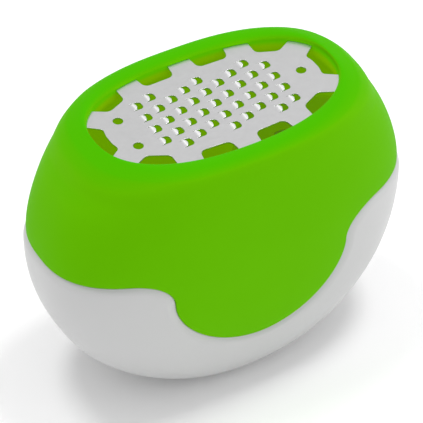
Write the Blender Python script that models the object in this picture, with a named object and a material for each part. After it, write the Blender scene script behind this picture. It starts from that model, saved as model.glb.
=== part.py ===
"""Palm-held citrus zester: an etched steel blade in a soft green shell over a white catch cup.

Frame: metres, +Z up, origin at the middle of the cup's flat base, +X along the long axis.
Every outline is a superellipse, and every shell is lofted from rings of points on the skin.
"""
import math

import bmesh
import bpy

MM = 0.001
GAP = 0.3 * MM

# Outer skin of the closed zester: half length, half width and squareness of its plan outline
BELLY = (51.5 * MM, 27.2 * MM, 2.6)
RIM_OUTLINE = (34.6 * MM, 23.5 * MM, 2.46)
OPENING = (33.7 * MM, 18.5 * MM, 2.35)
BELLY_Z = 46.6 * MM
RIM_Z = 79.95 * MM
BASE_SQUARENESS = 2.0
BASE_CUT = 0.95             # the base is cut flat at this share of the full belly depth
KEEL_POWER = 2.2            # how full the underside is along the length
BILGE_POWER = 3.45          # how full the underside is across the width
FLANK_START = 1.51          # how softly the flank leaves the belly
FLANK_END = 0.61            # how straight the flank runs into the rim

# Wavy seam between cup and shell
SEAM_Z = 49.3 * MM
FLAP_HALF_WIDTH = 25.7 * MM
FLAP_SHOULDER_Z = 40.7 * MM
FLAP_TIP_Z = 20.5 * MM
FLAP_POWER = 1.81
FLARE_WIDTH = 11.7 * MM
FLAP_STEPS, FLARE_STEPS, END_STEPS = 8, 5, 7
HULL_Z = 16.0 * MM          # level rows of the cup end here
HULL_ROWS, LIP_ROWS = 5, 4
HULL_ROW_POWER = 1.8        # crowds the rows towards the base, where the hull bends most

# Walls
CUP_WALL = 2.0 * MM
CUP_FLOOR = 2.2 * MM
SHELL_WALL = 2.2 * MM
SEAM_STEP = 0.35 * MM       # the cup's lip stands this proud of the shell
SEAM_FADE = 4.0 * MM
SKIRT_ROWS = 6
SKIRT_ROW_POWER = 1.5       # crowds the skirt's rows towards the seam
COLLAR_OUTER, COLLAR_INNER = 2.5 * MM, 3.9 * MM
COLLAR_REACH = 4.0 * MM
COLLAR_ROWS = 3

# Soft top
SKIRT_TOP_Z = 62.7 * MM
RIM_FOOT_Z = 72.0 * MM
RIM_STEPS = 64
RIM_ROWS_Z = (74.2 * MM, 76.4 * MM)     # heights of the rows between the rim's foot and its shoulder
CREST_STEPS, MOUTH_STEPS, THROAT_STEPS = 4, 3, 2
SHOULDER_DROP = 1.8 * MM    # the skin starts to round over this far below the rim's crest
CREST = 0.5                 # where the crest lies between the opening and the rim outline
THROAT_Z = 75.6 * MM        # the opening's straight wall ends here
CROWN = 0.95 * MM           # the blade and rim rise this much from the middle to the ends
CROWN_FADE = 4.0 * MM       # height above the rim's foot over which it takes up the crown

# Blade
BLADE_Z = 78.2 * MM
BLADE_THICKNESS = 0.4 * MM
COLUMNS = 9
COLUMN_SPACING = 4.49 * MM
TOOTH_PITCH = 4.945 * MM
COLUMN_LAGS = (0, 2, 1)     # thirds of a pitch that each column is lower than the first
LATTICE_X = 0.45 * MM       # the middle column
LATTICE_Y = -6.56 * MM      # the lowest tooth of the first column
SLOT_HALF_WIDTH = 1.38 * MM
SLOT_ROOT_X = -1.5 * MM
SLOT_END_X = 1.5 * MM
SLOT_CORNER = 1.0 * MM
TOOTH_ROOT_HALF, TOOTH_TIP_HALF = 1.2 * MM, 1.0 * MM
TOOTH_TIP_X = -0.25 * MM
TOOTH_RISE = 0.42 * MM
HOLE_RADIUS = 1.33 * MM
HOLE_SIDES = 12
HOLE_CENTRES = ((25.4 * MM, 0.0), (-24.4 * MM, 5.35 * MM), (-24.4 * MM, -5.35 * MM))


def clear_scene():
    for old in list(bpy.data.objects):
        bpy.data.objects.remove(old, do_unlink=True)


def make_material(name, colour, roughness, metallic=0.0):
    material = bpy.data.materials.new(name)
    material.use_nodes = True
    shader = material.node_tree.nodes["Principled BSDF"]
    shader.inputs["Base Color"].default_value = (*colour, 1.0)
    shader.inputs["Roughness"].default_value = roughness
    shader.inputs["Metallic"].default_value = metallic
    return material


def add_object(name, mesh, material, sharp_degrees=35.0):
    """Give a finished bmesh a name and a material, with smooth round faces."""
    bmesh.ops.recalc_face_normals(mesh, faces=mesh.faces[:])
    data = bpy.data.meshes.new(name)
    mesh.to_mesh(data)
    mesh.free()
    data.shade_smooth()
    data.set_sharp_from_angle(angle=math.radians(sharp_degrees))
    data.materials.append(material)
    part = bpy.data.objects.new(name, data)
    bpy.context.scene.collection.objects.link(part)
    return part


def loft(rings, close=False):
    """Join rings of equal length with quads, and cap the ends unless the stack closes on itself."""
    mesh = bmesh.new()
    loops = [[mesh.verts.new(point) for point in ring] for ring in rings]
    pairs = list(zip(loops, loops[1:]))
    if close:
        pairs.append((loops[-1], loops[0]))
    for lower, upper in pairs:
        for i in range(len(lower)):
            j = (i + 1) % len(lower)
            mesh.faces.new((lower[i], lower[j], upper[j], upper[i]))
    if not close:
        mesh.faces.new(reversed(loops[0]))
        mesh.faces.new(loops[-1])
    return mesh


def skin(z, inset=0.0):
    """Half length, half width and squareness of the skin at height z, moved in by inset."""
    if z >= BELLY_Z:
        rise = min(1.0, (z - BELLY_Z) / (RIM_Z - BELLY_Z))
        share = (1.0 - rise ** FLANK_START) ** FLANK_END
        a, b, n = (top + (belly - top) * share for top, belly in zip(RIM_OUTLINE, BELLY))
        return a - inset, b - inset, n
    depth = BASE_CUT * (BELLY_Z - z) / BELLY_Z
    a = BELLY[0] * (1.0 - depth ** KEEL_POWER) ** (1.0 / KEEL_POWER)
    b = BELLY[1] * (1.0 - depth ** BILGE_POWER) ** (1.0 / BILGE_POWER)
    n = BASE_SQUARENESS + (BELLY[2] - BASE_SQUARENESS) * math.sqrt(1.0 - depth * depth)
    return a - inset, b - inset, n


def cup_bore(z):
    """The cup's inside outline: the belly shape shrunk by the wall, with its own floor height."""
    if z >= BELLY_Z:
        return skin(z, CUP_WALL)
    depth = BASE_CUT * (BELLY_Z - z) / (BELLY_Z - CUP_FLOOR)
    a = (BELLY[0] - CUP_WALL) * (1.0 - depth ** KEEL_POWER) ** (1.0 / KEEL_POWER)
    b = (BELLY[1] - CUP_WALL) * (1.0 - depth ** BILGE_POWER) ** (1.0 / BILGE_POWER)
    n = BASE_SQUARENESS + (BELLY[2] - BASE_SQUARENESS) * math.sqrt(1.0 - depth * depth)
    return a, b, n


def outline_point(outline, angle, outset=0.0):
    """The point of a superellipse at a polar angle, moved out along its own normal."""
    a, b, n = outline
    c, s = math.cos(angle), math.sin(angle)
    radius = (abs(c / a) ** n + abs(s / b) ** n) ** (-1.0 / n)
    x, y = radius * c, radius * s
    nx = math.copysign(abs(x / a) ** (n - 1.0) / a, x)
    ny = math.copysign(abs(y / b) ** (n - 1.0) / b, y)
    size = math.hypot(nx, ny)
    return x + outset * nx / size, y + outset * ny / size


def even_angles(outline, count):
    """Polar angles that crowd towards the tight ends of an outline."""
    a, b, _ = outline
    turns = (2.0 * math.pi * i / count for i in range(count))
    return [math.atan2(b * math.sin(turn), a * math.cos(turn)) for turn in turns]


def crown(x):
    return CROWN * (x / OPENING[0]) ** 2


def rim_ring(outline, z, outset=0.0):
    """A ring round the soft top; above the rim's foot it takes up the crown."""
    share = min(1.0, max(0.0, (z - RIM_FOOT_Z) / CROWN_FADE))
    share *= share * (3.0 - 2.0 * share)
    points = []
    for angle in even_angles(OPENING, RIM_STEPS):
        x, y = outline_point(outline, angle, outset)
        points.append((x, y, z + share * crown(x)))
    return points


def curl(start, corner, end, steps):
    """Rings that round a corner ring off, from the start ring to the end ring."""
    rings = []
    for i in range(1, steps + 1):
        t = i / steps
        weights = ((1.0 - t) ** 2, 2.0 * t * (1.0 - t), t * t)
        rings.append([tuple(sum(w * c for w, c in zip(weights, axis)) for axis in zip(*points))
                      for points in zip(start, corner, end)])
    return rings


def seam_quarter(offset):
    """The seam from the flap's tip to the long axis, as (polar angle, height) pairs.

    A positive offset moves the curve into the shell, a negative one into the cup.
    """
    depth = FLAP_SHOULDER_Z - FLAP_TIP_Z
    flare_height = SEAM_Z - FLAP_SHOULDER_Z
    curve = []
    for i in range(FLAP_STEPS):
        turn = 0.5 * math.pi * i / FLAP_STEPS
        across = math.sin(turn) ** (2.0 / FLAP_POWER)
        down = math.cos(turn) ** (2.0 / FLAP_POWER)
        slope = (across ** (FLAP_POWER - 1.0) / FLAP_HALF_WIDTH, down ** (FLAP_POWER - 1.0) / depth)
        size = math.hypot(*slope)
        curve.append((FLAP_HALF_WIDTH * across - offset * slope[0] / size,
                      FLAP_SHOULDER_Z - depth * down + offset * slope[1] / size))
    for i in range(FLARE_STEPS + 1):
        turn = 0.5 * math.pi * i / FLARE_STEPS
        slope = (math.cos(turn) / FLARE_WIDTH, math.sin(turn) / flare_height)
        size = math.hypot(*slope)
        curve.append((FLAP_HALF_WIDTH + FLARE_WIDTH * (1.0 - math.cos(turn)) - offset * slope[0] / size,
                      FLAP_SHOULDER_Z + flare_height * math.sin(turn) + offset * slope[1] / size))
    quarter = []
    for x, z in curve:
        a, b, n = skin(z)
        quarter.append((math.atan2(b * (1.0 - (x / a) ** n) ** (1.0 / n), x), z))
    a, b, _ = BELLY
    start = math.atan2(a * math.tan(quarter[-1][0]), b)
    for i in range(1, END_STEPS + 1):
        turn = start * (1.0 - i / END_STEPS)
        quarter.append((math.atan2(b * math.sin(turn), a * math.cos(turn)), SEAM_Z + offset))
    return quarter


def seam_columns(offset):
    """The whole seam as (polar angle, height) pairs, once round."""
    quarter = seam_quarter(offset)
    half = quarter[:0:-1] + [(math.pi - angle, z) for angle, z in quarter[:-1]]
    return half + [(angle + math.pi, z) for angle, z in half]


def wall_ring(columns, outline_at, inset_at=None):
    """One point per (angle, height) column, on the outline that the wall has at that height."""
    ring = []
    for index, (angle, z) in enumerate(columns):
        a, b, n = outline_at(z)
        inset = inset_at(index) if inset_at else 0.0
        x, y = outline_point((a - inset, b - inset, n), angle)
        ring.append((x, y, z))
    return ring


def blend_columns(first, last, share):
    return [(p[0] + (q[0] - p[0]) * share, p[1] + (q[1] - p[1]) * share) for p, q in zip(first, last)]


def cup_columns(floor_z):
    """Rows of cup columns: level rings up the hull, then rows that swing up to the wavy lip."""
    lip = seam_columns(-0.5 * GAP)
    hull = [floor_z + (HULL_Z - floor_z) * (i / HULL_ROWS) ** HULL_ROW_POWER
            for i in range(HULL_ROWS + 1)]
    rows = [[(angle, z) for angle, _ in lip] for z in hull]
    rows += [blend_columns(rows[-1], lip, i / LIP_ROWS) for i in range(1, LIP_ROWS + 1)]
    return rows


def build_catch_cup(material):
    """White cup with a wavy lip and a small flat base."""
    rings = [wall_ring(columns, skin) for columns in cup_columns(0.0)]
    rings += [wall_ring(columns, cup_bore) for columns in reversed(cup_columns(CUP_FLOOR))]
    return add_object("catch_cup", loft(rings), material)


def build_shell_skirt(material):
    """Green skirt from the wavy seam up to the flexing band, with a flap on each long side."""
    edge = seam_columns(0.5 * GAP)
    top = [(angle, SKIRT_TOP_Z) for angle, _ in edge]
    rings = []
    for i in range(SKIRT_ROWS + 1):
        columns = blend_columns(edge, top, (i / SKIRT_ROWS) ** SKIRT_ROW_POWER)
        insets = [SEAM_STEP * math.exp(-(z - foot) / SEAM_FADE) for (_, z), (_, foot) in zip(columns, edge)]
        rings.append(wall_ring(columns, skin, insets.__getitem__))
    for i in range(SKIRT_ROWS, -1, -1):
        columns = blend_columns(edge, top, (i / SKIRT_ROWS) ** SKIRT_ROW_POWER)
        rings.append(wall_ring(columns, lambda z: skin(z, SHELL_WALL)))
    return add_object("shell_skirt", loft(rings, close=True), material)


def build_coupling_collar(material):
    """Hard wavy ring inside the shell, whose lower half plugs into the cup."""
    foot = seam_columns(-COLLAR_REACH)
    head = seam_columns(COLLAR_REACH)
    rings = []
    for i in range(COLLAR_ROWS + 1):
        columns = blend_columns(foot, head, i / COLLAR_ROWS)
        rings.append(wall_ring(columns, lambda z: skin(z, COLLAR_OUTER)))
    for i in range(COLLAR_ROWS, -1, -1):
        columns = blend_columns(foot, head, i / COLLAR_ROWS)
        rings.append(wall_ring(columns, lambda z: skin(z, COLLAR_INNER)))
    return add_object("coupling_collar", loft(rings, close=True), material)


def build_shell_flex_band(material):
    """The part of the green wall that gives when the blade is pressed."""
    low, high = SKIRT_TOP_Z + GAP, RIM_FOOT_Z - GAP
    middle = 0.5 * (low + high)
    rings = [rim_ring(skin(z), z) for z in (low, middle, high)]
    rings += [rim_ring(skin(z, SHELL_WALL), z) for z in (high, middle, low)]
    return add_object("shell_flex_band", loft(rings, close=True), material)


def build_shell_rim(material):
    """Rounded green rim that rolls over into the opening, with a pocket for each blade tab."""
    shoulder_z = RIM_Z - SHOULDER_DROP
    lip_z = BLADE_Z + 0.5 * BLADE_THICKNESS + GAP
    crest = tuple(mouth + CREST * (rim - mouth) for mouth, rim in zip(OPENING, RIM_OUTLINE))
    rings = [rim_ring(skin(z), z) for z in (RIM_FOOT_Z, *RIM_ROWS_Z, shoulder_z)]
    rings += curl(rings[-1], rim_ring(RIM_OUTLINE, RIM_Z), rim_ring(crest, RIM_Z), CREST_STEPS)
    rings += curl(rings[-1], rim_ring(OPENING, RIM_Z), rim_ring(OPENING, lip_z), MOUTH_STEPS)
    throat = rim_ring(OPENING, THROAT_Z)
    foot = rim_ring(skin(RIM_FOOT_Z, SHELL_WALL), RIM_FOOT_Z)
    low_throat = rim_ring(OPENING, 0.5 * (THROAT_Z + RIM_FOOT_Z))
    rings += [throat] + curl(throat, low_throat, foot, THROAT_STEPS)
    rim = add_object("shell_rim", loft(rings, close=True), material)
    cut = rim.modifiers.new("tab_pockets", "BOOLEAN")
    cut.operation = "DIFFERENCE"
    cut.solver = "EXACT"
    cut.object = build_pocket_cutter(material)
    return rim


def build_pocket_cutter(material):
    """One block round each blade tab, larger than the tab by the gap all round."""
    corners = blade_corners()
    half_height = 0.5 * BLADE_THICKNESS + GAP
    mesh = bmesh.new()
    for i in range(-1, len(corners) - 1):
        if corners[i][2] == 0.0 and corners[i + 1][2] == 0.0:
            tab = [corners[(i + step) % len(corners)][:2] for step in (-1, 0, 1, 2)]
            low, high = [[mesh.verts.new((x, y, BLADE_Z + crown(x) + side * half_height))
                          for x, y in grow(tab, GAP)] for side in (-1.0, 1.0)]
            mesh.faces.new(reversed(low))
            mesh.faces.new(high)
            for j in range(4):
                mesh.faces.new((low[j - 1], low[j], high[j], high[j - 1]))
    bmesh.ops.triangulate(mesh, faces=mesh.faces[:])
    cutter = add_object("tab_pocket_cutter", mesh, material)
    cutter.hide_render = True
    cutter.display_type = "WIRE"
    return cutter


def grow(loop, margin):
    """Move every side of a counter-clockwise loop outwards by margin."""
    grown = []
    for i, (x, y) in enumerate(loop):
        normals = []
        for (x0, y0), (x1, y1) in ((loop[i - 1], (x, y)), ((x, y), loop[(i + 1) % len(loop)])):
            size = math.hypot(x1 - x0, y1 - y0)
            normals.append(((y1 - y0) / size, (x0 - x1) / size))
        (ax, ay), (bx, by) = normals
        scale = margin / (1.0 + ax * bx + ay * by)
        grown.append((x + scale * (ax + bx), y + scale * (ay + by)))
    return grown


def round_corner(before, corner, after, radius, steps=3):
    """Replace a corner with an arc; radius 0 keeps the corner."""
    if radius == 0.0:
        return [corner]
    to_before = (before[0] - corner[0], before[1] - corner[1])
    to_after = (after[0] - corner[0], after[1] - corner[1])
    size_b, size_a = math.hypot(*to_before), math.hypot(*to_after)
    ub = (to_before[0] / size_b, to_before[1] / size_b)
    ua = (to_after[0] / size_a, to_after[1] / size_a)
    half = 0.5 * math.acos(max(-1.0, min(1.0, ub[0] * ua[0] + ub[1] * ua[1])))
    reach = radius / math.tan(half)
    mid = (ub[0] + ua[0], ub[1] + ua[1])
    size_m = math.hypot(*mid)
    centre = (corner[0] + mid[0] / size_m * radius / math.sin(half),
              corner[1] + mid[1] / size_m * radius / math.sin(half))
    start = (corner[0] + ub[0] * reach - centre[0], corner[1] + ub[1] * reach - centre[1])
    end = (corner[0] + ua[0] * reach - centre[0], corner[1] + ua[1] * reach - centre[1])
    first = math.atan2(start[1], start[0])
    sweep = math.remainder(math.atan2(end[1], end[0]) - first, 2.0 * math.pi)
    return [(centre[0] + radius * math.cos(first + sweep * i / steps),
             centre[1] + radius * math.sin(first + sweep * i / steps)) for i in range(steps + 1)]


def blade_corners():
    """Corners of the blade's edge as (x, y, radius); a pair with no radius is a tab's end."""
    quarter = [
        (29.75 * MM, 1.5 * MM, 4.0 * MM),
        (29.2 * MM, 4.1 * MM, 1.3 * MM),
        (33.8 * MM, 7.6 * MM, 0.0),
        (29.8 * MM, 12.4 * MM, 0.0),
        (24.5 * MM, 9.45 * MM, 2.4 * MM),
        (19.0 * MM, 12.1 * MM, 1.8 * MM),
        (19.15 * MM, 18.3 * MM, 0.0),
        (13.1 * MM, 19.8 * MM, 0.0),
        (12.0 * MM, 14.05 * MM, 1.8 * MM),
        (3.5 * MM, 14.4 * MM, 1.8 * MM),
        (2.9 * MM, 20.7 * MM, 0.0),
    ]
    half = quarter + [(-x, y, r) for x, y, r in reversed(quarter)]
    return half + [(-x, -y, r) for x, y, r in half]


def blade_outline():
    """Blade edge: three tabs on each long side, two at each end, rounded notches between them."""
    corners = blade_corners()
    outline = []
    for i, (x, y, radius) in enumerate(corners):
        after = corners[(i + 1) % len(corners)]
        outline += round_corner(corners[i - 1][:2], (x, y), after[:2], radius)
    return outline


def tooth_centres():
    """Nine columns of teeth; every third column starts at the same height."""
    centres = []
    for i in range(COLUMNS):
        lag = COLUMN_LAGS[i % 3]
        x = LATTICE_X + COLUMN_SPACING * (i - COLUMNS // 2)
        first = LATTICE_Y - TOOTH_PITCH * lag / 3.0
        count = 5 if lag == 2 else 4
        centres += [(x, first + TOOTH_PITCH * j) for j in range(count)]
    return centres


def slot_outline(cx, cy):
    """Hole round one tooth: a straight root, then a rounded end. The root comes first."""
    root = [(SLOT_ROOT_X, TOOTH_ROOT_HALF * share) for share in (-1.0, 0.0, 1.0)]
    corners = [(SLOT_ROOT_X, SLOT_HALF_WIDTH, 0.0), (SLOT_END_X, SLOT_HALF_WIDTH, SLOT_CORNER),
               (SLOT_END_X, -SLOT_HALF_WIDTH, SLOT_CORNER), (SLOT_ROOT_X, -SLOT_HALF_WIDTH, 0.0)]
    points = list(root)
    for i, (x, y, radius) in enumerate(corners):
        before = corners[i - 1][:2]
        after = corners[(i + 1) % len(corners)][:2]
        points += round_corner(before, (x, y), after, radius, steps=2)
    return [(cx + x, cy + y) for x, y in points]


def add_loop(mesh, points):
    verts = [mesh.verts.new((x, y, BLADE_Z + crown(x))) for x, y in points]
    edges = [mesh.edges.new((verts[i - 1], verts[i])) for i in range(len(verts))]
    return verts, edges


def add_tooth(mesh, root):
    """Raise a tapering tongue from the root edge of a slot towards +X, up to its cutting tip."""
    steps = 3
    length = TOOTH_TIP_X - SLOT_ROOT_X
    middle = root[1].co.y
    row = root
    for i in range(1, steps + 1):
        share = i / steps
        rise = TOOTH_RISE * share * share
        taper = 1.0 + share * (TOOTH_TIP_HALF / TOOTH_ROOT_HALF - 1.0)
        new_row = []
        for base in root:
            x = base.co.x + length * share
            y = middle + (base.co.y - middle) * taper
            new_row.append(mesh.verts.new((x, y, BLADE_Z + crown(x) + rise)))
        for j in range(len(root) - 1):
            mesh.faces.new((row[j], new_row[j], new_row[j + 1], row[j + 1]))
        row = new_row


def build_grating_blade(material):
    """Thin steel plate with raised teeth, made as a mid-surface and thickened."""
    mesh = bmesh.new()
    _, edges = add_loop(mesh, blade_outline())
    for x, y in HOLE_CENTRES:
        turns = (2.0 * math.pi * i / HOLE_SIDES for i in range(HOLE_SIDES))
        hole = [(x + HOLE_RADIUS * math.cos(t), y + HOLE_RADIUS * math.sin(t)) for t in turns]
        edges += add_loop(mesh, hole)[1]
    roots = []
    for x, y in tooth_centres():
        verts, slot_edges = add_loop(mesh, slot_outline(x, y))
        roots.append(verts[:3])
        edges += slot_edges
    bmesh.ops.triangle_fill(mesh, use_beauty=True, use_dissolve=False, edges=edges)
    for face in mesh.faces:
        if face.normal.z < 0.0:
            face.normal_flip()
    for root in roots:
        add_tooth(mesh, root)
    blade = add_object("grating_blade", mesh, material)
    solid = blade.modifiers.new("thickness", "SOLIDIFY")
    solid.thickness = BLADE_THICKNESS
    solid.offset = 0.0
    return blade


def main():
    clear_scene()
    white = make_material("white_plastic", (0.62, 0.62, 0.62), 0.45)
    green = make_material("green_soft_touch", (0.12, 0.48, 0.003), 0.5)
    olive = make_material("green_hard_plastic", (0.10, 0.33, 0.004), 0.4)
    steel = make_material("etched_steel", (0.50, 0.50, 0.51), 0.32, 1.0)
    build_catch_cup(white)
    build_coupling_collar(olive)
    build_shell_skirt(green)
    build_shell_flex_band(green)
    build_shell_rim(green)
    build_grating_blade(steel)


main()
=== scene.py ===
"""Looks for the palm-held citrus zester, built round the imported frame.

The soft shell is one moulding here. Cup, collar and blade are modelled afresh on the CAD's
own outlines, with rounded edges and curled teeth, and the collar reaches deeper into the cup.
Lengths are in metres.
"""

import math

import bmesh
import bpy
import numpy as np
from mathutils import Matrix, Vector


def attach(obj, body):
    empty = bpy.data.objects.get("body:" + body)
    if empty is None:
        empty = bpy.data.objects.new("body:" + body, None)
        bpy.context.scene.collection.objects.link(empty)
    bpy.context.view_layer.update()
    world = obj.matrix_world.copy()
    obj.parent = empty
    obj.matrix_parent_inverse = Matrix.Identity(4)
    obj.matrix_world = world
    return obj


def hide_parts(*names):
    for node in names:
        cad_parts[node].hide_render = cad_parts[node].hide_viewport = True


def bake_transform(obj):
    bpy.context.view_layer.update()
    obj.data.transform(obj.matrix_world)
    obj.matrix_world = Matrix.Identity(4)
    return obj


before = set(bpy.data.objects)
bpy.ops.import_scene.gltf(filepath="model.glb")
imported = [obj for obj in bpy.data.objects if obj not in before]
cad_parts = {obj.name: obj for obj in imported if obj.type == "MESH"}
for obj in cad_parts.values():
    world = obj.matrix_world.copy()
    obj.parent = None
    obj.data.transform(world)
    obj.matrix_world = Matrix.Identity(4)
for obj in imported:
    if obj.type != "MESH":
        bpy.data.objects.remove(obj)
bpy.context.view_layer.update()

MM = 0.001
GAP = 0.2 * MM      # between the cup's lip and the shell's edge

# Outer skin, as the CAD has it: half length, half width and squareness of each plan outline
BELLY = (51.5 * MM, 27.2 * MM, 2.6)
RIM_OUTLINE = (34.6 * MM, 23.5 * MM, 2.46)
OPENING = (33.7 * MM, 18.5 * MM, 2.35)
BELLY_Z = 46.6 * MM
RIM_Z = 79.95 * MM
BASE_SQUARENESS = 2.0
BASE_CUT = 0.95
KEEL_POWER = 2.2
BILGE_POWER = 3.45
FLANK_START = 1.51
FLANK_END = 0.61
CROWN = 0.95 * MM
CROWN_FADE = 4.0 * MM

# Seam
SEAM_Z = 49.3 * MM
FLAP_HALF_WIDTH = 25.7 * MM
FLAP_SHOULDER_Z = 40.7 * MM
FLAP_TIP_Z = 20.5 * MM
FLAP_POWER = 1.81
FLARE_WIDTH = 11.7 * MM
FLAP_STEPS, FLARE_STEPS, END_STEPS = 44, 24, 28
LEVEL_SAMPLES = 20          # points along the level end when the distance to the seam is measured
HULL_Z = 16.0 * MM

# Walls and edges
CUP_WALL = 2.0 * MM
CUP_FLOOR = 2.2 * MM
CUP_LIP_HEIGHT = 1.6 * MM   # the lip leans in over this height
CUP_LIP_DEPTH = 0.7 * MM    # by this much
CUP_LIP_POWER = 1.9
LIP_STEPS = 10
CUP_INNER_ROUND = 0.3 * MM
BASE_PROFILE = ((0.2, 0.5 * MM), (0.45, 0.5 * MM), (0.7, 0.5 * MM), (0.80, 0.42 * MM),
                (0.86, 0.12 * MM), (0.90, 0.0), (0.955, 0.0))   # share of the base, height
HULL_ROWS, WALL_ROWS = 26, 26
HULL_ROW_POWER = 1.8        # crowds the rows towards the base, where the hull bends most
HULL_FIRST_ROW = 0.35       # the lowest row's share of a step, just above the base
FLOOR_RINGS = (0.6, 0.2)    # shares of the cup's inner floor
CUP_EDGE_STEPS = 5
SHELL_WALL = 2.2 * MM
SHELL_EDGE_ROUND = 0.3 * MM
SEAM_STEP = 0.5 * MM        # the shell's lower edge stands this far inside the cup's skin
SEAM_FADE = 4.0 * MM
COLLAR_OUTER, COLLAR_INNER = 2.5 * MM, 3.9 * MM
COLLAR_REACH = 4.0 * MM     # above the seam
COLLAR_PLUG = 8.0 * MM      # below it, inside the cup; the CAD's reaches 4 mm
COLLAR_ROUND = 0.45 * MM
COLLAR_ROWS, COLLAR_EDGE_STEPS = 18, 4
BEAD_HEIGHT, BEAD_WIDTH, BEAD_DROP = 0.18 * MM, 0.5 * MM, 2.2 * MM
SHOULDER_DROP = 1.8 * MM
CREST = 0.5
RIM_FOOT_Z = 72.0 * MM
THROAT_Z = 75.6 * MM
CREST_STEPS, MOUTH_STEPS, THROAT_STEPS, BEND_STEPS = 14, 10, 7, 8
OUTER_EDGE_STEPS, INNER_EDGE_STEPS = 6, 4
FLANK_ROWS, LINING_ROWS = 56, 40
FLANK_ROW_POWER = 1.25      # crowds the rows towards the seam

# Blade
BLADE_Z = 78.2 * MM
BLADE_THICKNESS = 0.4 * MM
TAB_PLAY = 0.12 * MM
COLUMNS = 9
COLUMN_SPACING = 4.49 * MM
TOOTH_PITCH = 4.945 * MM
COLUMN_LAGS = (0, 2, 1)     # thirds of a pitch that each column is lower than the first
LATTICE_X = 0.45 * MM
LATTICE_Y = -6.56 * MM
SLOT_HALF_WIDTH = 1.38 * MM
SLOT_ROOT_X = -1.5 * MM
SLOT_END_X = 1.5 * MM
SLOT_CORNER = 1.0 * MM
TOOTH_ROOT_HALF, TOOTH_TIP_HALF = 1.3 * MM, 1.16 * MM
TOOTH_TIP_X = -0.1 * MM
TOOTH_TIP_ROUND = 0.3       # share of the tooth's length that its tip's sides fall back
TOOTH_RISE = 0.5 * MM
TOOTH_CURVE = 2.2
PAINTED_HIGHLIGHT_SHARE = 0.35         # share of the rise over which a tooth takes its painted highlight
TOOTH_ROWS, TOOTH_COLUMNS = 9, 8
HOLE_RADIUS = 1.33 * MM
HOLE_SIDES = 36
BLADE_CORNER_STEPS, SLOT_CORNER_STEPS = 10, 8
HOLE_CENTRES = ((25.4 * MM, 0.0), (-24.4 * MM, 5.35 * MM), (-24.4 * MM, -5.35 * MM))
BEVEL_WIDTH = 0.035 * MM
BEVEL_DEGREES = 50.0

# Finishes
# Painted light on the green: tops are painted darker and greener, sides lighter and yellower, by which way
# they face
GREEN_SIDE_PAINTED_LIGHT, GREEN_TOP_PAINTED_SHADE = (0.125, 0.482, 0.0005), (0.059, 0.402, 0.0005)
# painted tint of the deep inside, standing in for light through the shell
GREEN_INSIDE_PAINTED_TINT = (0.20, 0.45, 0.0005)
OLIVE_DARK, OLIVE_LIGHT = (0.17, 0.38, 0.004), (0.19, 0.42, 0.005)
# the third steel colour is a painted highlight for the raised teeth
STEEL_DARK, STEEL_LIGHT, STEEL_PAINTED_HIGHLIGHT = (0.66, 0.66, 0.665), (0.72, 0.72, 0.725), (0.98, 0.98, 0.98)
FLOOR_DARK, FLOOR_LIGHT = (0.94, 0.94, 0.94), (0.96, 0.96, 0.96)
MOTTLE_DARK, MOTTLE_LIGHT = (0.965, 0.965, 0.965), (1.0, 1.0, 1.0)
WHITE_DARK, WHITE_LIGHT = (0.536, 0.536, 0.539), (0.555, 0.555, 0.555)
GREEN_TINT = (0.3, 1.0, 0.0)
GREEN_SPECULAR = 0.02
UP_RANGE = (0.45, 0.98)     # upward part of the normal over which the painted lighter side turns into the painted darker top
# Painted glow inside the shell, standing in for light that comes through the translucent silicone
PAINTED_GLOW_HIGH, PAINTED_GLOW = (0.12, 1.0, 0.0), (0.50, 1.0, 0.0)
PAINTED_GLOW_STRENGTH = 0.21
# painted glow on the collar, standing in for light through the shell
COLLAR_PAINTED_GLOW = 0.17
# painted glow of the cup's bore, standing in for light through the shell
BORE_PAINTED_GLOW_LOW, BORE_PAINTED_GLOW_HIGH = 0.008, 0.04
BORE_PAINTED_GLOW_FROM, BORE_PAINTED_GLOW_TO = 18.0 * MM, 38.0 * MM   # heights between which the bore's painted glow grows
PAINTED_TINT_FROM, PAINTED_TINT_TO = 1.0 * MM, 3.4 * MM       # the inside takes its painted olive tint between these depths
PAINTED_GLOW_FROM, PAINTED_GLOW_TO = 0.3 * MM, 2.0 * MM         # and its painted glow starts between these

# Camera and studio
VIEW_AZIMUTH = -29.56
VIEW_ELEVATION = 42.5
VIEW_DISTANCE = 0.64
VIEW_AIM = (-9.36 * MM, -15.18 * MM, 58.07 * MM)
LENS = 217.5
SENSOR_WIDTH = 36.0
FLOOR_HALF = 3.0
WORLD_STRENGTH = 0.72
LIGHT_TARGET = (0.0, 0.0, 40.0 * MM)
LIGHTS = (                  # name, place, diameter and power: a pair of keys narrows the floor shadow
    ("key_left", (-0.20, 0.28, 1.15), 0.3, 3.8),
    ("key_right", (0.34, -0.02, 1.15), 0.3, 4.6),
    ("fill", (0.85, -0.65, 0.5), 0.9, 1.5),
)


# Outlines ---------------------------------------------------------------------------------

def skin(z, inset=0.0):
    """Half length, half width and squareness of the skin at each height in z."""
    z = np.asarray(z, float)
    rise = np.clip((z - BELLY_Z) / (RIM_Z - BELLY_Z), 0.0, 1.0)
    share = (1.0 - rise ** FLANK_START) ** FLANK_END
    upper = [top + (belly - top) * share for top, belly in zip(RIM_OUTLINE, BELLY)]
    depth = np.clip(BASE_CUT * (BELLY_Z - z) / BELLY_Z, 0.0, BASE_CUT)
    lower = hull(depth, BELLY[0], BELLY[1])
    return [np.where(z >= BELLY_Z, up, low) - move
            for up, low, move in zip(upper, lower, (inset, inset, 0.0))]


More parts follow.
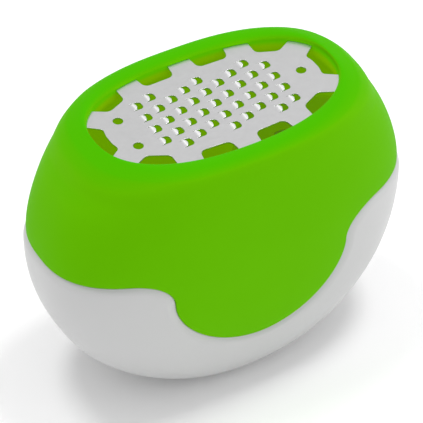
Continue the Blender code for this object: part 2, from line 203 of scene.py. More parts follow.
def hull(depth, half_length, half_width):
    """Outline of the lower body; depth runs from 0 at the belly to BASE_CUT at the base."""
    a = half_length * (1.0 - depth ** KEEL_POWER) ** (1.0 / KEEL_POWER)
    b = half_width * (1.0 - depth ** BILGE_POWER) ** (1.0 / BILGE_POWER)
    n = BASE_SQUARENESS + (BELLY[2] - BASE_SQUARENESS) * np.sqrt(1.0 - depth * depth)
    return a, b, n


def cup_bore(z):
    """The cup's inside outline, which ends on its own floor."""
    z = np.asarray(z, float)
    depth = np.clip(BASE_CUT * (BELLY_Z - z) / (BELLY_Z - CUP_FLOOR), 0.0, BASE_CUT)
    lower = hull(depth, BELLY[0] - CUP_WALL, BELLY[1] - CUP_WALL)
    return [np.where(z >= BELLY_Z, up, low) for up, low in zip(skin(z, CUP_WALL), lower)]


def outline_xy(outline, angle, outset=0.0):
    """Points of superellipses at polar angles, moved out along their own normals."""
    a, b, n = outline
    c, s = np.cos(angle), np.sin(angle)
    radius = (np.abs(c / a) ** n + np.abs(s / b) ** n) ** (-1.0 / n)
    x, y = radius * c, radius * s
    nx = np.sign(x) * np.abs(x / a) ** (n - 1.0) / a
    ny = np.sign(y) * np.abs(y / b) ** (n - 1.0) / b
    size = np.hypot(nx, ny)
    return x + outset * nx / size, y + outset * ny / size


def ring(outline, angle, z, outset=0.0):
    """One closed row of points; z is one height or one for each point."""
    x, y = outline_xy(outline, angle, outset)
    return np.column_stack([x, y, np.broadcast_to(z, x.shape)])


def crown(x):
    """How much the rim and the blade rise towards the ends."""
    return CROWN * (x / OPENING[0]) ** 2


def seam_curve(offset):
    """The seam's flap and flare as (x, z) points, set off along its own normal."""
    depth = FLAP_SHOULDER_Z - FLAP_TIP_Z
    turn = 0.5 * math.pi * np.arange(FLAP_STEPS) / FLAP_STEPS
    across = np.sin(turn) ** (2.0 / FLAP_POWER)
    down = np.cos(turn) ** (2.0 / FLAP_POWER)
    slope = np.array([across ** (FLAP_POWER - 1.0) / FLAP_HALF_WIDTH,
                      down ** (FLAP_POWER - 1.0) / depth])
    slope /= np.hypot(*slope)
    flap = np.array([FLAP_HALF_WIDTH * across - offset * slope[0],
                     FLAP_SHOULDER_Z - depth * down + offset * slope[1]])
    height = SEAM_Z - FLAP_SHOULDER_Z
    turn = 0.5 * math.pi * np.arange(FLARE_STEPS + 1) / FLARE_STEPS
    slope = np.array([np.cos(turn) / FLARE_WIDTH, np.sin(turn) / height])
    slope /= np.hypot(*slope)
    flare = np.array([FLAP_HALF_WIDTH + FLARE_WIDTH * (1.0 - np.cos(turn)) - offset * slope[0],
                      FLAP_SHOULDER_Z + height * np.sin(turn) + offset * slope[1]])
    return np.hstack([flap, flare]).T


def seam_columns(offset):
    """The whole seam once round, as (polar angle, height) columns."""
    curve = seam_curve(offset)
    a, b, n = skin(curve[:, 1])
    y = b * (1.0 - (curve[:, 0] / a) ** n) ** (1.0 / n)
    quarter = np.column_stack([np.arctan2(y, curve[:, 0]), curve[:, 1]])
    start = math.atan2(BELLY[0] * math.tan(quarter[-1, 0]), BELLY[1])
    turn = start * (1.0 - np.arange(1, END_STEPS + 1) / END_STEPS)
    end = np.arctan2(BELLY[1] * np.sin(turn), BELLY[0] * np.cos(turn))
    quarter = np.vstack([quarter, np.column_stack([end, np.full(END_STEPS, SEAM_Z + offset)])])
    mirrored = quarter[:-1] * (-1.0, 1.0) + (math.pi, 0.0)
    half = np.vstack([quarter[:0:-1], mirrored])
    return np.vstack([half, half + (math.pi, 0.0)])


def seam_distance(x, z):
    """How far points on the shell are from the seam, measured on its side view."""
    curve = seam_curve(0.0)
    end = np.column_stack([np.linspace(curve[-1, 0], BELLY[0], LEVEL_SAMPLES),
                           np.full(LEVEL_SAMPLES, SEAM_Z)])
    curve = np.vstack([curve, end])
    step = np.hypot(np.abs(x)[:, None] - curve[None, :, 0], z[:, None] - curve[None, :, 1])
    return step.min(axis=1)


def mix(first, last, share):
    return first + (last - first) * share


def smooth(share):
    """Ease a share in and out, held between 0 and 1."""
    share = np.clip(share, 0.0, 1.0)
    return share * share * (3.0 - 2.0 * share)


def curl(start, corner, end, steps):
    """Rings that round a corner ring off, from the start ring to the end ring."""
    shares = np.linspace(0.0, 1.0, steps + 1)[1:]
    return [start * (1.0 - t) ** 2 + corner * 2.0 * t * (1.0 - t) + end * t * t for t in shares]


# Mesh building ----------------------------------------------------------------------------

def loft(name, rings, close=False, cap_first=False, cap_last=False, materials=(), second_from=None):
    """A mesh object from rings of points. Rows from second_from on take the second material."""
    count = len(rings[0])
    points = np.vstack(rings)
    faces = []
    slots = []
    rows = len(rings) if close else len(rings) - 1
    for row in range(rows):
        low, high = row * count, ((row + 1) % len(rings)) * count
        use_second = second_from is not None and row >= second_from
        for i in range(count):
            j = (i + 1) % count
            faces.append((low + i, low + j, high + j, high + i))
            slots.append(1 if use_second else 0)
    points = list(map(tuple, points))
    for wanted, base in ((cap_first, 0), (cap_last, (len(rings) - 1) * count)):
        if wanted:
            middle = np.mean(points[base:base + count], axis=0)
            points.append(tuple(middle))
            for i in range(count):
                faces.append((base + i, base + (i + 1) % count, len(points) - 1))
                slots.append(1 if second_from is not None and base else 0)
    data = bpy.data.meshes.new(name)
    data.from_pydata(points, [], faces)
    for material in materials:
        data.materials.append(material)
    data.polygons.foreach_set("material_index", slots)
    return finish_mesh(name, data)


def finish_mesh(name, data, sharp_degrees=40.0):
    """Turn the faces outwards, smooth them and link the piece to the scene."""
    mesh = bmesh.new()
    mesh.from_mesh(data)
    bmesh.ops.recalc_face_normals(mesh, faces=mesh.faces[:])
    closed = all(edge.is_manifold for edge in mesh.edges)
    if closed and mesh.calc_volume(signed=True) < 0.0:
        bmesh.ops.reverse_faces(mesh, faces=mesh.faces[:])
    mesh.to_mesh(data)
    mesh.free()
    data.shade_smooth()
    data.set_sharp_from_angle(angle=math.radians(sharp_degrees))
    piece = bpy.data.objects.new(name, data)
    bpy.context.scene.collection.objects.link(piece)
    return piece


def edge_rings(offset_sign, radius, inset, outline_at, steps, outward=True):
    """A rounded seam edge: rings from the butt face to the wall, or back if not outward."""
    rings = []
    turns = np.linspace(0.0, 0.5 * math.pi, steps)
    for turn in turns if outward else turns[::-1]:
        columns = seam_columns(offset_sign * (0.5 * GAP + radius * (1.0 - math.sin(turn))))
        move = inset + (radius if outward else -radius) * (1.0 - math.cos(turn))
        rings.append(wall_ring(columns, outline_at, move))
    return rings


def lip_rings():
    """The cup's lip, from the wall up: it leans in ever more, then ends on a small round edge."""
    rings = []
    for share in np.linspace(0.0, 1.0, LIP_STEPS + 1):
        columns = seam_columns(-(0.5 * GAP + CUP_INNER_ROUND + CUP_LIP_HEIGHT * (1.0 - share)))
        rings.append(wall_ring(columns, skin, CUP_LIP_DEPTH * share ** CUP_LIP_POWER))
    return rings + edge_rings(-1.0, CUP_INNER_ROUND, CUP_LIP_DEPTH, skin, CUP_EDGE_STEPS)[-2::-1]


def wall_ring(columns, outline_at, inset=0.0):
    """A row that follows wavy (polar angle, height) columns on an outline's surface."""
    a, b, n = outline_at(columns[:, 1])
    return ring((a - inset, b - inset, n), columns[:, 0], columns[:, 1])


# Pieces -----------------------------------------------------------------------------------

def build_cup(white, white_inside):
    """Catch cup: shallow recessed base, full hull, rounded wavy lip, smooth bore."""
    lip_columns = seam_columns(-(0.5 * GAP + CUP_INNER_ROUND + CUP_LIP_HEIGHT))
    angles = lip_columns[:, 0]
    rings = []
    a, b, n = skin(0.0)
    for scale, z in BASE_PROFILE:
        rings.append(ring((a * scale, b * scale, n), angles, z))
    for i in range(HULL_ROWS + 1):
        z = HULL_Z * ((i + HULL_FIRST_ROW) / (HULL_ROWS + HULL_FIRST_ROW)) ** HULL_ROW_POWER
        rings.append(ring(skin(z), angles, z))
    level_columns = np.column_stack([angles, np.full(len(angles), HULL_Z)])
    for i in range(1, WALL_ROWS):
        rings.append(wall_ring(mix(level_columns, lip_columns, i / WALL_ROWS), skin))
    rings += lip_rings()
    rings += edge_rings(-1.0, CUP_INNER_ROUND, CUP_WALL, skin, CUP_EDGE_STEPS, outward=False)[::-1]
    bore_from = len(rings) - 1
    bore_top = seam_columns(-(0.5 * GAP + CUP_INNER_ROUND))
    bore_level = np.column_stack([bore_top[:, 0], np.full(len(bore_top), HULL_Z)])
    for i in range(1, WALL_ROWS + 1):
        rings.append(wall_ring(mix(bore_top, bore_level, i / WALL_ROWS), cup_bore))
    for i in range(HULL_ROWS - 1, -1, -1):
        z = CUP_FLOOR + (HULL_Z - CUP_FLOOR) * (i / HULL_ROWS) ** HULL_ROW_POWER
        rings.append(ring(cup_bore(z), bore_top[:, 0], z))
    a, b, n = cup_bore(CUP_FLOOR)
    for scale in FLOOR_RINGS:
        rings.append(ring((a * scale, b * scale, n), bore_top[:, 0], CUP_FLOOR))
    cup = loft("cup", rings, cap_first=True, cap_last=True, materials=[white, white_inside],
               second_from=bore_from)
    # painted glow: the bore is painted greener higher up, standing in for light through the shell
    painted_glow = cup.data.attributes.new("painted_glow", "FLOAT", "POINT")
    height = np.array([vertex.co.z for vertex in cup.data.vertices])
    painted_glow.data.foreach_set("value", smooth((height - BORE_PAINTED_GLOW_FROM) / (BORE_PAINTED_GLOW_TO - BORE_PAINTED_GLOW_FROM)))
    return cup


def shell_outer_rings():
    """Outer wall of the soft shell, from its rounded lower edge to the rim's shoulder."""
    rings = edge_rings(1.0, SHELL_EDGE_ROUND, SEAM_STEP, skin, OUTER_EDGE_STEPS)
    edge = seam_columns(0.5 * GAP + SHELL_EDGE_ROUND)
    shoulder = np.column_stack([edge[:, 0], np.full(len(edge), RIM_Z - SHOULDER_DROP)])
    for i in range(1, FLANK_ROWS + 1):
        columns = mix(edge, shoulder, (i / FLANK_ROWS) ** FLANK_ROW_POWER)
        flat = wall_ring(columns, skin)
        away = seam_distance(flat[:, 0], flat[:, 2]) - SHELL_EDGE_ROUND - 0.5 * GAP
        inset = SEAM_STEP * np.exp(-np.clip(away, 0.0, None) / SEAM_FADE)
        rings.append(wall_ring(columns, skin, inset))
    return rings, edge[:, 0]


def build_shell(green, inner_green):
    """The whole soft shell: skirt with two flaps, flank, rolled rim, throat and bore."""
    rings, angles = shell_outer_rings()
    crest = tuple(mix(mouth, rim, CREST) for mouth, rim in zip(OPENING, RIM_OUTLINE))
    top = ring(crest, angles, RIM_Z)
    lip = ring(OPENING, angles, BLADE_Z)
    rings += curl(rings[-1], ring(RIM_OUTLINE, angles, RIM_Z), top, CREST_STEPS)
    rings += curl(top, ring(OPENING, angles, RIM_Z), lip, MOUTH_STEPS)
    second_from = len(rings) - MOUTH_STEPS
    for z in np.linspace(BLADE_Z, THROAT_Z, THROAT_STEPS)[1:]:
        rings.append(ring(OPENING, angles, z))
    bore_top = np.column_stack([angles, np.full(len(angles), RIM_FOOT_Z)])
    bend = ring(OPENING, angles, mix(THROAT_Z, RIM_FOOT_Z, 0.5))
    rings += curl(rings[-1], bend, wall_ring(bore_top, skin, SHELL_WALL), BEND_STEPS)
    seam = seam_columns(0.5 * GAP + SHELL_EDGE_ROUND)
    for i in range(1, LINING_ROWS + 1):
        rings.append(wall_ring(mix(bore_top, seam, i / LINING_ROWS), skin, SHELL_WALL))
    rings += edge_rings(1.0, SHELL_EDGE_ROUND, SHELL_WALL, skin, INNER_EDGE_STEPS, outward=False)[1:]
    for points in rings:
        points[:, 2] += crown(points[:, 0]) * smooth((points[:, 2] - RIM_FOOT_Z) / CROWN_FADE)
    shell = loft("soft_shell", rings, close=True, materials=[green, inner_green], second_from=second_from)
    cut_pockets(shell, inner_green)
    # depth below the crest sets the inside's painted tint; a second attribute sets its painted glow, both
    # standing in for light through the shell
    depth = shell.data.attributes.new("depth", "FLOAT", "POINT")
    points = np.array([vertex.co[:] for vertex in shell.data.vertices])
    below = RIM_Z + crown(points[:, 0]) - points[:, 2]
    depth.data.foreach_set("value", smooth((below - PAINTED_TINT_FROM) / (PAINTED_TINT_TO - PAINTED_TINT_FROM)))
    painted_glow = shell.data.attributes.new("painted_glow", "FLOAT", "POINT")
    painted_glow.data.foreach_set("value", smooth((below - PAINTED_GLOW_FROM) / (PAINTED_GLOW_TO - PAINTED_GLOW_FROM)))
    return shell


def cut_pockets(shell, material):
    """Cut a close pocket for each blade tab into the wall of the opening."""
    corners = blade_corners()
    half_height = 0.5 * BLADE_THICKNESS + TAB_PLAY
    mesh = bmesh.new()
    for i in range(-1, len(corners) - 1):
        if corners[i][2] == 0.0 and corners[i + 1][2] == 0.0:
            tab = [corners[(i + step) % len(corners)][:2] for step in (-1, 0, 1, 2)]
            low, high = [[mesh.verts.new((x, y, BLADE_Z + crown(x) + side * half_height))
                          for x, y in grow(tab, TAB_PLAY)] for side in (-1.0, 1.0)]
            mesh.faces.new(reversed(low))
            mesh.faces.new(high)
            for j in range(4):
                mesh.faces.new((low[j - 1], low[j], high[j], high[j - 1]))
    bmesh.ops.triangulate(mesh, faces=mesh.faces[:])
    data = bpy.data.meshes.new("pocket_cutter")
    mesh.to_mesh(data)
    mesh.free()
    data.materials.append(material)
    cutter = bpy.data.objects.new("pocket_cutter", data)
    bpy.context.scene.collection.objects.link(cutter)
    cut = shell.modifiers.new("tab_pockets", "BOOLEAN")
    cut.operation = "DIFFERENCE"
    cut.solver = "MANIFOLD"
    cut.material_mode = "TRANSFER"
    cut.object = cutter
    apply_modifiers(shell)
    bpy.data.objects.remove(cutter)


def apply_modifiers(piece):
    """Replace a piece's mesh with what its modifiers make of it."""
    graph = bpy.context.evaluated_depsgraph_get()
    data = bpy.data.meshes.new_from_object(piece.evaluated_get(graph))
    piece.modifiers.clear()
    piece.data = data


def grow(loop, margin):
    """Move every side of a counter-clockwise loop outwards by margin."""
    grown = []
    for i, (x, y) in enumerate(loop):
        normals = []
        for (x0, y0), (x1, y1) in ((loop[i - 1], (x, y)), ((x, y), loop[(i + 1) % len(loop)])):
            size = math.hypot(x1 - x0, y1 - y0)
            normals.append(((y1 - y0) / size, (x0 - x1) / size))
        (ax, ay), (bx, by) = normals
        scale = margin / (1.0 + ax * bx + ay * by)
        grown.append((x + scale * (ax + bx), y + scale * (ay + by)))
    return grown


def build_collar(olive):
    """Wavy hard collar with rounded edges and a small snap bead below the seam."""
    rings = []
    low, high = COLLAR_ROUND - COLLAR_PLUG, COLLAR_REACH - COLLAR_ROUND
    quarter = np.linspace(0.0, 0.5 * math.pi, COLLAR_EDGE_STEPS)

    def add_ring(offset, inset):
        rings.append(wall_ring(seam_columns(offset), skin, inset))

    def add_round(turns, offset, inset, side, out):
        for turn in turns:
            add_ring(offset + side * COLLAR_ROUND * math.sin(turn),
                     inset + out * COLLAR_ROUND * (1.0 - math.cos(turn)))

    add_round(quarter[::-1], low, COLLAR_OUTER, -1.0, 1.0)
    for offset in np.linspace(low, high, COLLAR_ROWS + 1)[1:-1]:
        bead = BEAD_HEIGHT * math.exp(-((offset + BEAD_DROP) / BEAD_WIDTH) ** 2)
        add_ring(offset, COLLAR_OUTER - bead)
    add_round(quarter, high, COLLAR_OUTER, 1.0, 1.0)
    add_round(quarter[::-1], high, COLLAR_INNER, 1.0, -1.0)
    for offset in np.linspace(high, low, COLLAR_ROWS + 1)[1:-1]:
        add_ring(offset, COLLAR_INNER)
    add_round(quarter, low, COLLAR_INNER, -1.0, -1.0)
    return loft("collar", rings, close=True, materials=[olive])


def round_corner(before, corner, after, radius, steps):
    """Replace a corner with an arc; radius 0 keeps the corner."""
    if radius == 0.0:
        return [corner]
    before, here, after = Vector(before), Vector(corner), Vector(after)
    back, ahead = (before - here).normalized(), (after - here).normalized()
    half = 0.5 * back.angle(ahead)
    centre = here + (back + ahead).normalized() * radius / math.sin(half)
    start = here + back * radius / math.tan(half) - centre
    end = here + ahead * radius / math.tan(half) - centre
    first = math.atan2(start.y, start.x)
    sweep = math.remainder(math.atan2(end.y, end.x) - first, 2.0 * math.pi)
    return [(centre.x + radius * math.cos(first + sweep * i / steps),
             centre.y + radius * math.sin(first + sweep * i / steps)) for i in range(steps + 1)]


def rounded_outline(corners, steps):
    outline = []
    for i, (x, y, radius) in enumerate(corners):
        after = corners[(i + 1) % len(corners)]
        outline += round_corner(corners[i - 1][:2], (x, y), after[:2], radius, steps)
    return outline


def blade_corners():
    """Corners of the blade's edge as (x, y, radius); a pair with no radius is a tab's end."""
    quarter = [
        (29.75 * MM, 1.5 * MM, 4.0 * MM),
        (29.2 * MM, 4.1 * MM, 1.3 * MM),
        (33.8 * MM, 7.6 * MM, 0.0),
        (29.8 * MM, 12.4 * MM, 0.0),
        (24.5 * MM, 9.45 * MM, 2.4 * MM),
        (19.0 * MM, 12.1 * MM, 1.8 * MM),
        (19.15 * MM, 18.3 * MM, 0.0),
        (13.1 * MM, 19.8 * MM, 0.0),
        (12.0 * MM, 14.05 * MM, 1.8 * MM),
        (3.5 * MM, 14.4 * MM, 1.8 * MM),
        (2.9 * MM, 20.7 * MM, 0.0),
    ]
    half = quarter + [(-x, y, r) for x, y, r in reversed(quarter)]
    return half + [(-x, -y, r) for x, y, r in half]


def blade_outline():
    """Blade edge: three tabs on each long side, two at each end, rounded notches between them."""
    return rounded_outline(blade_corners(), BLADE_CORNER_STEPS)


def tooth_centres():
    """Nine columns of teeth; every third column starts at the same height."""
    centres = []
    for i in range(COLUMNS):
        lag = COLUMN_LAGS[i % 3]
        x = LATTICE_X + COLUMN_SPACING * (i - COLUMNS // 2)
        first = LATTICE_Y - TOOTH_PITCH * lag / 3.0
        count = 5 if lag == 2 else 4    # the lowest columns hold one tooth more
        centres += [(x, first + TOOTH_PITCH * j) for j in range(count)]
    return centres


def slot_outline(cx, cy):
    """Hole round one tooth: its straight root first, then round the open end."""
    shares = np.linspace(-1.0, 1.0, TOOTH_COLUMNS + 1)
    points = [(SLOT_ROOT_X, TOOTH_ROOT_HALF * share) for share in shares]
    corners = [(SLOT_ROOT_X, SLOT_HALF_WIDTH, 0.0), (SLOT_END_X, SLOT_HALF_WIDTH, SLOT_CORNER),
               (SLOT_END_X, -SLOT_HALF_WIDTH, SLOT_CORNER), (SLOT_ROOT_X, -SLOT_HALF_WIDTH, 0.0)]
    points += rounded_outline(corners, SLOT_CORNER_STEPS)
    return [(cx + x, cy + y) for x, y in points]


def add_loop(mesh, points):
    verts = [mesh.verts.new((x, y, BLADE_Z + crown(x))) for x, y in points]
    return verts, [mesh.edges.new((verts[i - 1], verts[i])) for i in range(len(verts))]


def add_tooth(mesh, root):
    """Raise a tapering tongue from a slot's root edge; it curls up to a rounded cutting tip."""
    length = TOOTH_TIP_X - SLOT_ROOT_X
    middle = root[len(root) // 2].co.y
    row = root
    for i in range(1, TOOTH_ROWS + 1):
        share = i / TOOTH_ROWS
        taper = mix(1.0, TOOTH_TIP_HALF / TOOTH_ROOT_HALF, share)
        new_row = []
        for base in root:
            across = (base.co.y - middle) / TOOTH_ROOT_HALF
            reach = share * (1.0 - TOOTH_TIP_ROUND * share * across ** 2)
            x = base.co.x + length * reach
            y = middle + across * TOOTH_ROOT_HALF * taper
            new_row.append(mesh.verts.new((x, y, BLADE_Z + crown(x) + TOOTH_RISE * reach ** TOOTH_CURVE)))
        for j in range(len(root) - 1):
            mesh.faces.new((row[j], new_row[j], new_row[j + 1], row[j + 1]))
        row = new_row


def build_blade(steel):
    """Etched blade: a plate with 39 raised teeth and three holes, thickened and edge-broken."""
    mesh = bmesh.new()
    _, edges = add_loop(mesh, blade_outline())
    for x, y in HOLE_CENTRES:
        turns = np.linspace(0.0, 2.0 * math.pi, HOLE_SIDES, endpoint=False)
        rim = [(x + HOLE_RADIUS * math.cos(t), y + HOLE_RADIUS * math.sin(t)) for t in turns]
        edges += add_loop(mesh, rim)[1]
    roots = []
    for x, y in tooth_centres():
        verts, slot_edges = add_loop(mesh, slot_outline(x, y))
        roots.append(verts[:TOOTH_COLUMNS + 1])
        edges += slot_edges
    bmesh.ops.triangle_fill(mesh, use_beauty=True, use_dissolve=False, edges=edges)
    for face in mesh.faces:
        if face.normal.z < 0.0:
            face.normal_flip()
    for root in roots:
        add_tooth(mesh, root)
    data = bpy.data.meshes.new("blade")
    mesh.to_mesh(data)
    mesh.free()
    data.materials.append(steel)
    blade = finish_mesh("blade", data)
    solid = blade.modifiers.new("thickness", "SOLIDIFY")
    solid.thickness = BLADE_THICKNESS
    solid.offset = 0.0
    bevel = blade.modifiers.new("edge", "BEVEL")
    bevel.width = BEVEL_WIDTH
    bevel.segments = 2
    bevel.limit_method = "ANGLE"
    bevel.angle_limit = math.radians(BEVEL_DEGREES)
    bevel.harden_normals = True
    apply_modifiers(blade)
    # the teeth's rise sets their painted highlight
    points = np.array([vertex.co[:] for vertex in blade.data.vertices])
    height = points[:, 2] - crown(points[:, 0]) - BLADE_Z - 0.5 * BLADE_THICKNESS
    rise = blade.data.attributes.new("rise", "FLOAT", "POINT")
    rise.data.foreach_set("value", smooth(height / (PAINTED_HIGHLIGHT_SHARE * TOOTH_RISE)))
    return blade


# Materials --------------------------------------------------------------------------------

class Nodes:
    """A small helper that adds and wires shader nodes of one material."""

    def __init__(self, name):
        self.material = bpy.data.materials.new(name)
        self.material.use_nodes = True
        self.tree = self.material.node_tree
        self.shader = self.tree.nodes["Principled BSDF"]

    def add(self, kind, **values):
        node = self.tree.nodes.new(kind)
        for key, value in values.items():
            if hasattr(node, key):
                setattr(node, key, value)
            else:
                node.inputs[key.replace("_", " ")].default_value = value
        return node

    def link(self, source, target):
        self.tree.links.new(source, target)

    def coordinates(self, scale=(1.0, 1.0, 1.0)):
        mapping = self.add("ShaderNodeMapping")
        mapping.inputs["Scale"].default_value = scale
        self.link(self.add("ShaderNodeTexCoord").outputs["Object"], mapping.inputs["Vector"])
        return mapping.outputs["Vector"]

    def noise(self, scale, detail=2.0, stretch=(1.0, 1.0, 1.0), roughness=0.5):
        node = self.add("ShaderNodeTexNoise", Scale=scale, Detail=detail, Roughness=roughness)
        self.link(self.coordinates(stretch), node.inputs["Vector"])
        return node.outputs["Fac"]

    def remap(self, value, low, high, from_low=0.3, from_high=0.7):
        node = self.add("ShaderNodeMapRange")
        numbers = {"From Min": from_low, "From Max": from_high, "To Min": low, "To Max": high}
        for socket, number in numbers.items():
            node.inputs[socket].default_value = number
        self.link(value, node.inputs["Value"])
        return node.outputs["Result"]

    def blend_colour(self, factor, first, second):
        node = self.add("ShaderNodeMix", data_type="RGBA")
        node.inputs[6].default_value = (*first, 1.0)
        node.inputs[7].default_value = (*second, 1.0)
        self.link(factor, node.inputs["Factor"])
        return node.outputs[2]

    def mix_colours(self, factor, first, second, blend_type="MIX"):
        node = self.add("ShaderNodeMix", data_type="RGBA", blend_type=blend_type)
        if isinstance(factor, float):
            node.inputs["Factor"].default_value = factor
        else:
            self.link(factor, node.inputs["Factor"])
        self.link(first, node.inputs[6])
        self.link(second, node.inputs[7])
        return node.outputs[2]

    def bump(self, height, distance, strength=1.0):
        node = self.add("ShaderNodeBump")
        node.inputs["Distance"].default_value = distance
        node.inputs["Strength"].default_value = strength
        self.link(height, node.inputs["Height"])
        self.link(node.outputs["Normal"], self.shader.inputs["Normal"])

    def set(self, **values):
        for key, value in values.items():
            self.shader.inputs[key.replace("_", " ")].default_value = value


def green_material(name, inside):
    """Soft-touch green with painted light: its sides are painted lighter and yellower than its tops; its
    inside has a painted yellower tint and a painted glow, standing in for light through the shell.
    """
    nodes = Nodes(name)
    split = nodes.add("ShaderNodeSeparateXYZ")
    nodes.link(nodes.add("ShaderNodeNewGeometry").outputs["Normal"], split.inputs["Vector"])
    # painted shade: tops are painted darker and greener than sides, by the normal's upward part
    painted_top_shade = nodes.remap(split.outputs["Z"], 0.0, 1.0, *UP_RANGE)
    tone = nodes.blend_colour(painted_top_shade, GREEN_SIDE_PAINTED_LIGHT, GREEN_TOP_PAINTED_SHADE)
    if inside:
        # the deep inside takes a painted yellower tint and a painted glow, standing in for light through the
        # shell
        depth = nodes.add("ShaderNodeAttribute", attribute_name="depth").outputs["Fac"]
        tone = nodes.mix_colours(depth, tone, nodes.blend_colour(depth, GREEN_TOP_PAINTED_SHADE, GREEN_INSIDE_PAINTED_TINT))
        painted_glow = nodes.add("ShaderNodeAttribute", attribute_name="painted_glow").outputs["Fac"]
        nodes.link(nodes.remap(painted_glow, 0.0, PAINTED_GLOW_STRENGTH, 0.0, 1.0), nodes.shader.inputs["Emission Strength"])
        nodes.link(nodes.blend_colour(depth, PAINTED_GLOW_HIGH, PAINTED_GLOW), nodes.shader.inputs["Emission Color"])
    mottle = nodes.blend_colour(nodes.noise(90.0, 3.0), MOTTLE_DARK, MOTTLE_LIGHT)
    nodes.link(nodes.mix_colours(1.0, tone, mottle, "MULTIPLY"), nodes.shader.inputs["Base Color"])
    nodes.link(nodes.remap(nodes.noise(1400.0, 2.0), 0.50, 0.60), nodes.shader.inputs["Roughness"])
    nodes.bump(nodes.noise(2600.0, 2.0), 0.00002, 0.35)
    nodes.set(Specular_IOR_Level=GREEN_SPECULAR, Specular_Tint=(*GREEN_TINT, 1.0))
    return nodes.material


def white_material(name, inside):
    """White moulded plastic; the bore has a faint painted green glow, standing in for light through the
    shell, most near its lip.
    """
    nodes = Nodes(name)
    tone = nodes.blend_colour(nodes.noise(60.0, 3.0), WHITE_DARK, WHITE_LIGHT)
    nodes.link(tone, nodes.shader.inputs["Base Color"])
    nodes.link(nodes.remap(nodes.noise(900.0, 2.0), 0.34, 0.42), nodes.shader.inputs["Roughness"])
    nodes.bump(nodes.noise(1500.0, 2.0), 0.00001, 0.3)
    nodes.set(Specular_IOR_Level=0.45)
    if inside:
        # painted glow on the bore, standing in for light through the shell
        painted_glow = nodes.add("ShaderNodeAttribute", attribute_name="painted_glow").outputs["Fac"]
        strength = nodes.remap(painted_glow, BORE_PAINTED_GLOW_LOW, BORE_PAINTED_GLOW_HIGH, 0.0, 1.0)
        nodes.link(strength, nodes.shader.inputs["Emission Strength"])
        nodes.set(Emission_Color=(*PAINTED_GLOW, 1.0))
    return nodes.material


def olive_material():
    nodes = Nodes("green_hard_plastic")
    tone = nodes.blend_colour(nodes.noise(120.0, 3.0), OLIVE_DARK, OLIVE_LIGHT)
    nodes.link(tone, nodes.shader.inputs["Base Color"])
    nodes.link(nodes.remap(nodes.noise(900.0, 2.0), 0.30, 0.40), nodes.shader.inputs["Roughness"])
    nodes.bump(nodes.noise(1200.0, 2.0), 0.00001, 0.3)
    # painted glow: the collar is painted as lit by light coming through the shell
    nodes.set(Emission_Color=(*PAINTED_GLOW, 1.0), Emission_Strength=COLLAR_PAINTED_GLOW)
    return nodes.material


def steel_material():
    """Etched stainless sheet: satin, finely frosted, with a painted highlight on the raised teeth."""
    nodes = Nodes("etched_steel")
    plate = nodes.blend_colour(nodes.noise(500.0, 4.0), STEEL_DARK, STEEL_LIGHT)
    # painted highlight: the raised teeth are painted brighter
    rise = nodes.add("ShaderNodeAttribute", attribute_name="rise").outputs["Fac"]
    painted_highlight = nodes.blend_colour(rise, STEEL_LIGHT, STEEL_PAINTED_HIGHLIGHT)
    nodes.link(nodes.mix_colours(rise, plate, painted_highlight), nodes.shader.inputs["Base Color"])
    brushed = nodes.noise(2200.0, 3.0, stretch=(0.35, 1.0, 1.0))
    nodes.link(nodes.remap(brushed, 0.30, 0.36), nodes.shader.inputs["Roughness"])
    nodes.bump(nodes.noise(4000.0, 2.0, stretch=(0.5, 1.0, 1.0)), 0.000004, 0.25)
    nodes.set(Metallic=1.0)
    return nodes.material


def floor_material():
    nodes = Nodes("pale_floor")
    tone = nodes.blend_colour(nodes.noise(8.0, 2.0), FLOOR_DARK, FLOOR_LIGHT)
    nodes.link(tone, nodes.shader.inputs["Base Color"])
    nodes.set(Roughness=0.8, Specular_IOR_Level=0.1)
    return nodes.material


# Studio -----------------------------------------------------------------------------------

def aim(thing, target):
    thing.rotation_euler = (Vector(target) - thing.location).to_track_quat("-Z", "Y").to_euler()


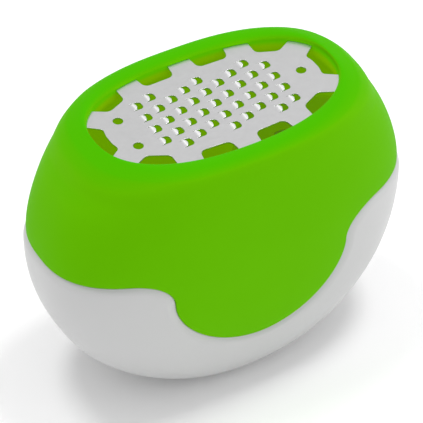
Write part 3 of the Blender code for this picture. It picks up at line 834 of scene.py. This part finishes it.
def add_area_light(name, location, size, power):
    data = bpy.data.lights.new(name, "AREA")
    data.shape = "DISK"
    data.size = size
    data.energy = power
    light = bpy.data.objects.new(name, data)
    light.location = location
    bpy.context.scene.collection.objects.link(light)
    aim(light, LIGHT_TARGET)


def build_studio():
    data = bpy.data.meshes.new("floor")
    corners = ((-1.0, -1.0), (1.0, -1.0), (1.0, 1.0), (-1.0, 1.0))
    data.from_pydata([(x * FLOOR_HALF, y * FLOOR_HALF, 0.0) for x, y in corners], [], [(0, 1, 2, 3)])
    data.materials.append(floor_material())
    floor = bpy.data.objects.new("floor", data)
    bpy.context.scene.collection.objects.link(floor)
    world = bpy.data.worlds.new("studio")
    world.use_nodes = True
    background = world.node_tree.nodes["Background"]
    background.inputs["Color"].default_value = (1.0, 1.0, 1.0, 1.0)
    background.inputs["Strength"].default_value = WORLD_STRENGTH
    bpy.context.scene.world = world
    for light in LIGHTS:
        add_area_light(*light)
    bpy.context.scene.view_settings.view_transform = "Standard"


def build_camera():
    data = bpy.data.cameras.new("camera")
    data.lens = LENS
    data.sensor_width = SENSOR_WIDTH
    camera = bpy.data.objects.new("camera", data)
    azimuth, elevation = math.radians(VIEW_AZIMUTH), math.radians(VIEW_ELEVATION)
    back = Vector((math.sin(azimuth) * math.cos(elevation), -math.cos(azimuth) * math.cos(elevation),
                   math.sin(elevation)))
    camera.location = Vector(VIEW_AIM) + back * VIEW_DISTANCE
    bpy.context.scene.collection.objects.link(camera)
    aim(camera, VIEW_AIM)
    bpy.context.scene.camera = camera


def main():
    build_camera()
    build_studio()
    green = green_material("green_soft_touch", inside=False)
    inner_green = green_material("green_inside", inside=True)
    olive = olive_material()
    white = white_material("white_plastic", inside=False)
    cup = build_cup(white, white_material("white_plastic_inside", inside=True))
    shell = build_shell(green, inner_green)
    collar = build_collar(olive)
    blade = build_blade(steel_material())
    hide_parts("catch_cup")
    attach(cup, "cup")
    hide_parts("shell_skirt", "shell_flex_band", "shell_rim")
    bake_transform(shell)
    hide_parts("coupling_collar")
    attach(collar, "soft_top")
    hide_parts("grating_blade")
    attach(blade, "blade_head")


main()
